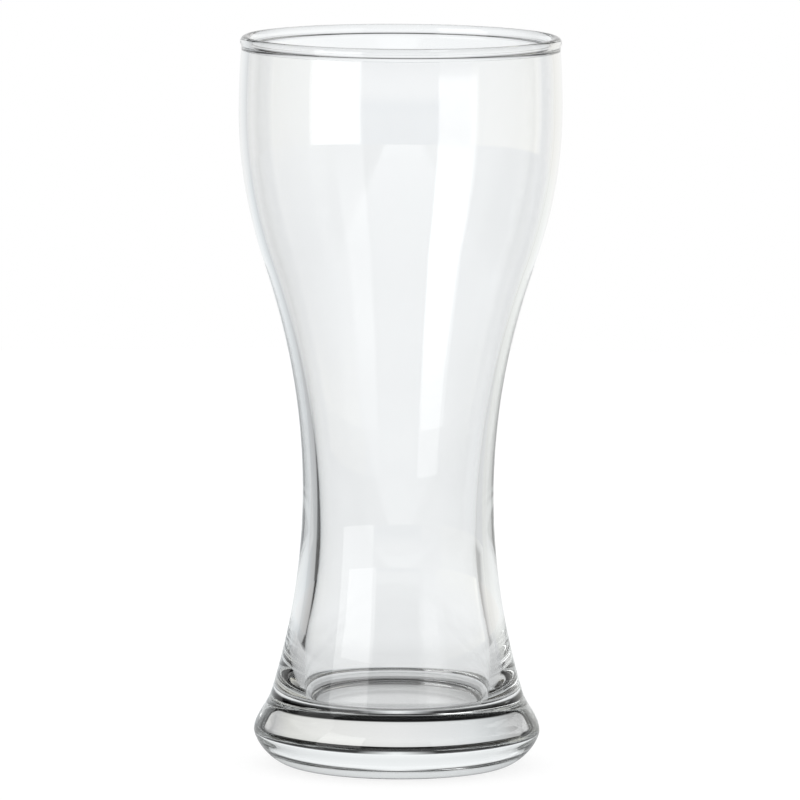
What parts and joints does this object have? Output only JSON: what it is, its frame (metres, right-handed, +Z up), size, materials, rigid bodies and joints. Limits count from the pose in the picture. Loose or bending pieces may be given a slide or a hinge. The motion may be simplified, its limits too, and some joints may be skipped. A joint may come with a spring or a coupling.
{
  "type": "pilsner glass",
  "caption": "Clear waisted pilsner glass with a fire-finished rim, a flaring bowl, a thick-walled stem and a heavy solid foot with a rounded heel.",
  "frame": {"origin": "centre of the standing ring, level with the table", "axes": "+Z up along the axis of the glass, X and Y level"},
  "size_m": [0.0794, 0.0794, 0.18],
  "materials": {
    "clear_glass": "polished"
  },
  "bodies": {
    "root": {"rim_bead": "clear_glass", "bowl": "clear_glass", "stem": "clear_glass", "foot": "clear_glass"}
  },
  "joints": []
}
